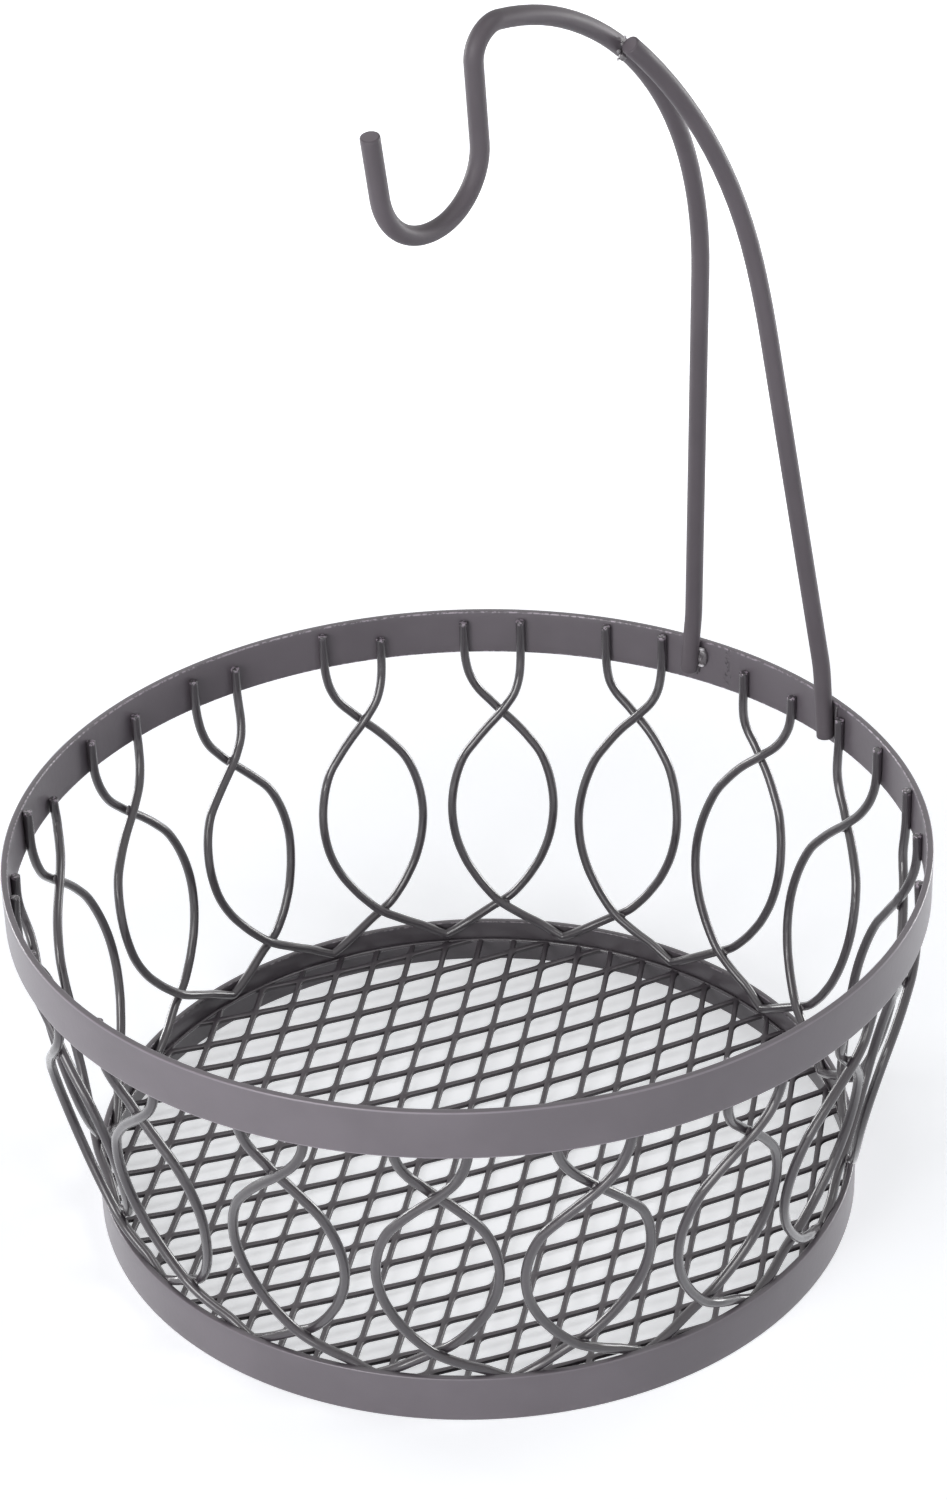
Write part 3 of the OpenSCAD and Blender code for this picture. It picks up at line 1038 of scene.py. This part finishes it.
@dataclass
class HookArm:
    """The hook rod and the brace rod, each bent flat and stood on the rim, in millimetres."""

    bands: Bands
    rod_d: float = 5.4
    gap: float = 0.12
    foot_angle: float = 12.65
    foot_drop: float = 12.0
    foot_step: float = 1.8
    toe: float = 3.9
    arm_turn: float = -0.4
    sides: int = 28
    hook: tuple[Step, ...] = (
        Step(18.0), Step(60, 5.55), Step(121.6), Step(128.3, 16.9), Step(120.8, 43.46), Step(91.1, 17.2),
        Step(8.2, 106.2), Step(23.7), Step(17.1, -90), Step(21.7, -86.05), Step(19.2),
    )
    brace: tuple[Step, ...] = (Step(19.8), Step(60, 7.37), Step(109.4), Step(295, 4.6), Step(144.9, 34.43))

    @property
    def foot_r(self) -> float:
        """Distance of the feet from the middle."""
        return self.bands.rim_inside - self.rod_d / 2 - self.gap

    def flat_path(self, steps: tuple[Step, ...]) -> np.ndarray:
        """Middle line of a rod in its own plane, from its foot.

        Args:
            steps: The rod's straight lengths and bends, in order.

        Returns:
            Rows of distance outwards and distance up, in millimetres.
        """
        path, heading = [np.zeros((1, 2))], 0.0
        for step in steps:
            path.append(path[-1][-1] + step.points(heading))
            heading += step.turn
        return np.vstack(path)

    def lean(self) -> float:
        """Lean of both planes, at which the brace's end lies against the side of the arch.

        The room between the end and the middle plane, divided by the end's height, is its sine.

        Returns:
            The lean in radians.
        """
        end = self.flat_path(self.brace)[-1]
        foot = self.foot_r * math.sin(math.radians(self.foot_angle))
        toe = math.radians(self.toe)
        room = foot + end[0] * math.sin(toe) - self.rod_d / 2 - self.gap / 2
        return math.asin(room / (end[1] * math.cos(toe)))

    def stand(self, side: int) -> Matrix:
        """Place of a rod's plane on the rim.

        Args:
            side: 1 for the brace, -1 for the hook rod.

        Returns:
            Matrix from outwards, up and off the plane to the frame, in millimetres.
        """
        foot = math.radians(self.foot_angle)
        x, y = side * self.foot_r * math.sin(foot), self.foot_r * math.cos(foot)
        place = Vector((x, y, self.bands.side_h - self.foot_drop))
        lean = Matrix.Rotation(-side * self.lean(), 4, "Y")
        toe = Matrix.Rotation(math.radians(-side * self.toe), 4, "Z")
        flat = Matrix(((0, 0, 1, 0), (1, 0, 0, 0), (0, 1, 0, 0), (0, 0, 0, 1)))
        arm = Matrix.Rotation(math.radians(self.arm_turn), 4, "Z")
        return arm @ Matrix.Translation(place) @ toe @ lean @ flat

    def path(self, side: int) -> np.ndarray:
        """Middle line of a rod in the frame.

        Args:
            side: 1 for the brace, -1 for the hook rod.

        Returns:
            Rows of points in millimetres.
        """
        flat = self.flat_path(self.brace) if side > 0 else self.flat_path(self.hook) + [0, self.foot_step]
        place = np.array(self.stand(side))
        return np.hstack([flat, np.zeros((len(flat), 1))]) @ place[:3, :3].T + place[:3, 3]

    def build(self) -> list[bpy.types.Object]:
        """Makes and dresses both rods.

        Returns:
            The hook rod and the brace rod.
        """
        # The cut ends are painted lighter, a painted highlight as if lit from above.
        paint = RodPaint(
            "rod_paint", (0.117, 0.102, 0.115), gloss=0.50, shine=0.34, coat=0.0, painted_light_factor=1.6
        ).material()
        pieces = []
        for name, node, side in (("hook_rod_round", "hook_rod", -1), ("brace_rod_round", "brace_rod", 1)):
            path = self.path(side)
            facing = np.tile(np.array(self.stand(side))[:3, 2], (len(path), 1))
            points, faces = Tube(path, facing, self.rod_d / 2, self.sides).surface()
            near = np.minimum(*(np.linalg.norm(points - end, axis=1) for end in (path[0], path[-1])))
            piece = add_piece(name, points * MM, faces, marks=(near < self.rod_d * 0.4) * 1.0)
            piece.data.materials.append(paint)
            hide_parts(node)
            pieces.append(piece)
        return pieces


@dataclass(frozen=True)
class Lump:
    """One drop of weld metal: an oval with a soft uneven skin, and a crater where it froze.

    Sizes are in millimetres. The skin is the oval's radius times one plus a sum of sines of the
    direction. The crater takes off a share that falls as a bell curve round its direction.
    """

    place: tuple[float, float, float]
    size: tuple[float, float, float]
    turn_deg: float = 0.0
    seed: int = 0
    rough: float = 0.10
    crater: float = 0.0
    crater_to: tuple[float, float, float] = (0.0, 0.0, 1.0)
    rows: int = 14
    columns: int = 20

    def surface(self) -> tuple[np.ndarray, list[np.ndarray]]:
        """Works the drop out on a grid of latitude and longitude, with closed poles.

        Returns:
            The points in millimetres, and the arrays of faces.
        """
        draw = np.random.default_rng(self.seed)
        lat = np.linspace(0, np.pi, self.rows + 2)[1:-1, None]
        lon = np.arange(self.columns)[None, :] * 2 * np.pi / self.columns
        way = np.stack([np.sin(lat) * np.cos(lon), np.sin(lat) * np.sin(lon), np.cos(lat) + 0 * lon], -1)
        way = np.vstack([way.reshape(-1, 3), [[0, 0, 1], [0, 0, -1]]])
        waves = draw.normal(0, 2.6, (6, 3))
        skin = 1 + self.rough * np.sin(way @ waves.T + draw.uniform(0, 6, 6)).mean(1) * 1.6
        spot = unit(np.array(self.crater_to))
        skin = skin * (1 - self.crater * np.exp(-(np.arccos(np.clip(way @ spot, -1, 1)) / 0.42) ** 2))
        a = math.radians(self.turn_deg)
        spin = np.array([[math.cos(a), math.sin(a), 0], [-math.sin(a), math.cos(a), 0], [0, 0, 1]])
        points = (way * skin[:, None] * self.size) @ spin + self.place
        north, south, ring = len(points) - 2, len(points) - 1, np.arange(self.columns)
        after, low = (ring + 1) % self.columns, (self.rows - 1) * self.columns
        quads = grid_quads(self.rows, self.columns, False, True)[:, ::-1]
        top = np.stack([np.full(self.columns, north), ring, after], 1)
        bottom = np.stack([np.full(self.columns, south), low + after, low + ring], 1)
        return points, [quads, top, bottom]


@dataclass
class Welds:
    """All weld metal that shows: at the two feet, round the brace's end and where wires cross, with small
    drops painted light as glints.
    """

    bands: Bands
    wires: SideWires
    arm: HookArm
    bead_z: float = 116.7
    fillet_r: float = 0.9
    nugget: float = 1.15

    def _on_rim(self, azimuth_deg: float, depth: float, z: float) -> tuple[float, float, float]:
        """Place on the rim's inner face, a depth in from it."""
        a, r = math.radians(azimuth_deg), self.bands.rim_inside - depth
        return (r * math.cos(a), r * math.sin(a), z)

    def _by_brace_end(self, forward: float, inwards: float, off: float) -> tuple[float, float, float]:
        """Place beside the brace's cut end.

        Args:
            forward: Distance past the cut, in millimetres.
            inwards: Distance towards the inside of the bend, in radii of the rod.
            off: Distance off the plane of the bend, in radii of the rod.

        Returns:
            The place in the frame, in millimetres.
        """
        place, end = np.array(self.arm.stand(1)), self.arm.flat_path(self.arm.brace)[-1]
        a, r = math.radians(sum(step.turn for step in self.arm.brace)), self.arm.rod_d / 2
        along, inside = np.array([-math.sin(a), math.cos(a)]), np.array([-math.cos(a), -math.sin(a)])
        at = end + along * forward + inside * inwards * r
        return tuple(place[:3, :3] @ np.array([at[0], at[1], off * r]) + place[:3, 3])

    def _feet(self) -> list[tuple[np.ndarray, list[np.ndarray]]]:
        """Beads and fillets where the two rods meet the rim.

        Returns:
            Points and arrays of faces of each, in millimetres.
        """
        parts, ends = [], (RodEnd.ROUND, RodEnd.ROUND)
        middle = 90 + self.arm.arm_turn
        hook, brace = middle + self.arm.foot_angle, middle - self.arm.foot_angle
        side = math.degrees(math.asin((self.arm.rod_d / 2 + 0.9) / self.bands.rim_inside))
        parts.append(Lump(
            self._on_rim(hook - side - 0.12, 0.8, self.bead_z), (1.7, 1.9, 2.9), hook - side, 3, 0.16, 0.70,
            (-1.0, -0.15, 0.05), 24, 32,
        ).surface())
        low = self.bands.side_h - self.arm.foot_drop
        for foot, sign, seed in ((hook, 1, 21), (hook, -1, 22), (brace, 1, 23), (brace, -1, 24)):
            z = np.linspace(low + 0.2, self.bands.side_h - 1.0, 40)
            wander = soft_noise(np.linspace(0, 2 * np.pi, 40), seed, 9)
            beside = math.degrees(math.asin((self.arm.rod_d / 2 * 0.78) / self.bands.rim_inside))
            at = np.radians(foot + sign * beside + 0.05 * wander)
            r = self.bands.rim_inside - self.fillet_r * 0.35 + 0.15 * wander
            path = np.stack([r * np.cos(at), r * np.sin(at), z], 1)
            facing = np.tile([[math.cos(math.radians(foot)), math.sin(math.radians(foot)), 0.0]], (40, 1))
            parts.append(Tube(path, facing, self.fillet_r * 0.7, 10, ends).surface())
        turns = np.linspace(-0.9, 0.9, 12)
        path = np.stack([np.array(self._on_rim(hook + turn, 0.35, low + 0.1)) for turn in turns])
        facing = np.tile([[0.0, 0.0, 1.0]], (len(turns), 1))
        parts.append(Tube(path, facing, 0.6, 10, ends).surface())
        return parts

    def _brace_end(self) -> list[tuple[np.ndarray, list[np.ndarray]]]:
        """Tacks round the brace's cut end: one drop below it and small ones before its face.

        Returns:
            Points and arrays of faces of each, in millimetres.
        """
        spots = ((-2.6, 1.05, -1.15, 1.15, 31), (0.1, 0.1, -1.0, 0.7, 32), (-0.2, 0.9, -1.05, 0.6, 34))
        return [
            Lump(self._by_brace_end(*where), (size, size, size * 1.1), 0.0, seed, 0.2).surface()
            for *where, size, seed in spots
        ]

    def _glints(self) -> list[tuple[np.ndarray, list[np.ndarray]]]:
        """Small drops painted light as glints: above and below the foot's bead, and before the brace's cut
        face.

        Returns:
            Points and arrays of faces of each, in millimetres.
        """
        foot = 90 + self.arm.arm_turn + self.arm.foot_angle
        at = foot - math.degrees(math.asin((self.arm.rod_d / 2 + 1.2) / self.bands.rim_inside))
        drops = [
            (self._on_rim(at, 1.4, self.bead_z + 3.0), (0.6, 1.3, 0.6), at, 41, 0.15),
            (self._on_rim(at, 1.4, self.bead_z - 2.8), (0.6, 1.1, 0.55), at, 42, 0.15),
        ]
        tacks = ((0.5, -0.6, -0.9, 0.42, 43), (0.5, 0.0, -1.1, 0.38, 44), (-2.2, 1.5, -1.4, 0.4, 45))
        drops += [
            (self._by_brace_end(*where), (size, size, size), 0.0, seed, 0.1) for *where, size, seed in tacks
        ]
        return [Lump(*drop, rows=8, columns=12).surface() for drop in drops]

    def _crossings(self) -> list[tuple[np.ndarray, list[np.ndarray]]]:
        """Spot welds between two wires: one low and one high crossing beside every wire.

        Returns:
            Points and arrays of faces of each, in millimetres.
        """
        parts = []
        for k in range(self.wires.count):
            for row, place in enumerate(self.wires.crossings(k)):
                draw = np.random.default_rng(500 + 50 * row + k)
                a = math.degrees(math.atan2(place[1], place[0]))
                wide = self.nugget * draw.uniform(0.85, 1.15)
                size = (0.7, wide * (1.5 if row == 0 else 0.95), wide * (0.8 if row == 0 else 1.5))
                parts.append(Lump(tuple(place), size, a, 700 + k, 0.2, rows=6, columns=10).surface())
        return parts

    def build(self) -> list[bpy.types.Object]:
        """Makes and dresses the beads.

        Returns:
            The beads of the arm, the spots of the wires and the drops painted as glints.
        """
        paint = Paint(
            "weld_paint", (0.115, 0.103, 0.112), contrast=0.25, gloss=0.24, coat=0.7, coat_rough=0.1,
            peel_mm=0.8, peel_depth=0.4,
        ).material()
        # Near-white paint on small drops: painted glints.
        painted_glint = Paint(
            "glint_paint", (0.62, 0.60, 0.62), contrast=0.1, gloss=0.30, coat=0.8, coat_rough=0.1
        ).material()
        beads = add_piece("arm_beads", *self._scaled(self._feet() + self._brace_end()))
        spots = add_piece("wire_spots", *self._scaled(self._crossings()))
        glints = add_piece("arm_glints", *self._scaled(self._glints()))
        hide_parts("weld_beads")
        for piece, finish in ((beads, paint), (spots, paint), (glints, painted_glint)):
            piece.data.materials.append(finish)
        return [beads, spots, glints]

    @staticmethod
    def _scaled(parts: list[tuple[np.ndarray, list[np.ndarray]]]) -> tuple[np.ndarray, list[np.ndarray]]:
        """Joins surfaces in millimetres into one in metres."""
        points, faces = join(parts)
        return points * MM, faces


# Studio


@dataclass
class Studio:
    """Camera at the photograph's viewing angle, pale floor and soft light."""

    lens: float = 86.4
    sensor: float = 36.0
    distance: float = 0.88358
    height: float = 0.68290
    pitch_deg: float = 31.092
    yaw_deg: float = -0.160
    roll_deg: float = -1.988
    azimuth_deg: float = 46.0
    floor_side: float = 6.0
    floor_glow: float = 0.50
    floor_near: float = 0.22
    floor_far: float = 0.60
    ambient: float = 0.13
    # Name, place as the camera sees it (right, away and up), size in metres and power in watts
    lamps: tuple[tuple[str, tuple[float, float, float], float, float], ...] = (
        ("front_left_softbox", (-0.85, -1.1, 0.62), 0.7, 11.8),
        ("front_low_softbox", (-0.25, -1.3, 0.45), 0.6, 2.7),
        ("left_rear_softbox", (-1.0, 1.2, 0.3), 1.2, 2.5),
        ("right_rear_softbox", (1.0, 1.2, 0.3), 1.2, 2.0),
        ("left_low_softbox", (-1.25, 0.85, 0.3), 0.5, 8.0),
        ("right_low_softbox", (1.25, 0.8, 0.2), 0.6, 11.0),
        ("top_softbox", (0.6, -0.2, 1.4), 0.5, 3.4),
    )

    def camera(self) -> None:
        """Stands the camera: it looks along +Y, down by the pitch, and goes round by the azimuth."""
        data = bpy.data.cameras.new("camera")
        data.lens, data.sensor_width = self.lens, self.sensor
        data.clip_start, data.clip_end = 0.05, 30.0
        camera = bpy.data.objects.new("camera", data)
        bpy.context.collection.objects.link(camera)
        p, y, r = (math.radians(v) for v in (self.pitch_deg, self.yaw_deg, self.roll_deg))
        view = Matrix(((1, 0, 0), (0, -math.sin(p), -math.cos(p)), (0, math.cos(p), -math.sin(p))))
        yaw = Matrix(((math.cos(y), 0, math.sin(y)), (0, 1, 0), (-math.sin(y), 0, math.cos(y))))
        roll = Matrix(((math.cos(r), -math.sin(r), 0), (math.sin(r), math.cos(r), 0), (0, 0, 1)))
        right, down, ahead = roll @ yaw @ view
        turn = Matrix((right, -down, -ahead)).transposed()
        round_z = Matrix.Rotation(math.radians(self.azimuth_deg), 4, "Z")
        place = Matrix.Translation((0, -self.distance, self.height)) @ turn.to_4x4()
        camera.matrix_world = round_z @ place
        bpy.context.scene.camera = camera

    def floor(self) -> None:
        """Lays a wide pale floor that keeps the object's shadow.

        Its glow is the weakest under the object, a painted shade round it, and rises to a plain white with
        the distance.
        """
        side = self.floor_side
        points = np.array([[-side, -side, 0], [side, -side, 0], [side, side, 0], [-side, side, 0]])
        floor = add_piece("floor", points, [np.array([[0, 1, 2, 3]])])
        nodes = Nodes("floor_paper")
        diffuse = nodes.add("ShaderNodeBsdfDiffuse", {}, {"Color": (0.86, 0.87, 0.90, 1.0)})
        away = nodes.add("ShaderNodeVectorMath", {"operation": "LENGTH"}, {0: nodes.place()}, "Value")
        # Weaker glow near the object: a painted shade round it.
        rise = away.band(self.floor_near, self.floor_far) * (1 - self.floor_glow) + self.floor_glow
        strength = self.seen(nodes) * rise
        glow = nodes.add("ShaderNodeEmission", {}, {"Color": (0.98, 0.99, 1.0, 1.0), "Strength": strength})
        paper = nodes.add("ShaderNodeAddShader", {}, {0: diffuse, 1: glow})
        floor.data.materials.append(nodes.finish(paper))

    @staticmethod
    def seen(nodes: Nodes) -> Value:
        """One for rays that show the background: from the camera, in gloss and through glass."""
        kinds = ("Camera", "Glossy", "Transmission")
        rays = [nodes.add("ShaderNodeLightPath", {}, {}, f"Is {kind} Ray") for kind in kinds]
        settings = {"operation": "ADD", "use_clamp": True}
        return nodes.add("ShaderNodeMath", settings, {0: rays[0] + rays[1], 1: rays[2]})

    def lamp(self, name: str, place: tuple[float, float, float], size: float, power: float) -> None:
        """Hangs a square soft lamp that looks at the basket.

        Args:
            name: Name of the lamp.
            place: Where it hangs, as the camera sees it: right, away and up, in metres.
            size: Side of the lamp in metres.
            power: Power in watts.
        """
        data = bpy.data.lights.new(name, "AREA")
        data.size, data.energy = size, power
        lamp = bpy.data.objects.new(name, data)
        bpy.context.collection.objects.link(lamp)
        spot = Matrix.Rotation(math.radians(self.azimuth_deg), 3, "Z") @ Vector(place)
        aim = Vector((0, 0, 0.12)) - spot
        lamp.matrix_world = Matrix.Translation(spot) @ aim.to_track_quat("-Z", "Y").to_matrix().to_4x4()

    def world(self) -> None:
        """Fills the room with even light, and shows white to the camera and in reflections."""
        nodes = Nodes("room_light", True)
        light = {"Color": (0.95, 0.97, 1.0, 1.0), "Strength": self.ambient}
        even = nodes.add("ShaderNodeBackground", {}, light)
        white = nodes.add("ShaderNodeBackground", {}, {"Color": (1.0, 1.0, 1.0, 1.0), "Strength": 1.0})
        nodes.finish(nodes.add("ShaderNodeMixShader", {}, {0: self.seen(nodes), 1: even, 2: white}))

    def build(self) -> None:
        """Sets the studio up."""
        bpy.context.scene.view_settings.view_transform = "Standard"
        self.camera()
        self.floor()
        self.world()
        for lamp in self.lamps:
            self.lamp(*lamp)


def main() -> None:
    """Builds the basket from its sub-assemblies and stands it in the studio."""
    logging.basicConfig(level=logging.INFO, format="%(message)s")
    bands = Bands()
    wires, arm = SideWires(bands), HookArm(bands)
    for part in (bands, wires, MeshFloor(bands), arm, Welds(bands, wires, arm)):
        for piece in part.build():
            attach(piece, BODY)
            LOG.info("%s: %d faces", piece.name, len(piece.data.polygons))
    Studio().build()


if __name__ == "__main__":
    main()
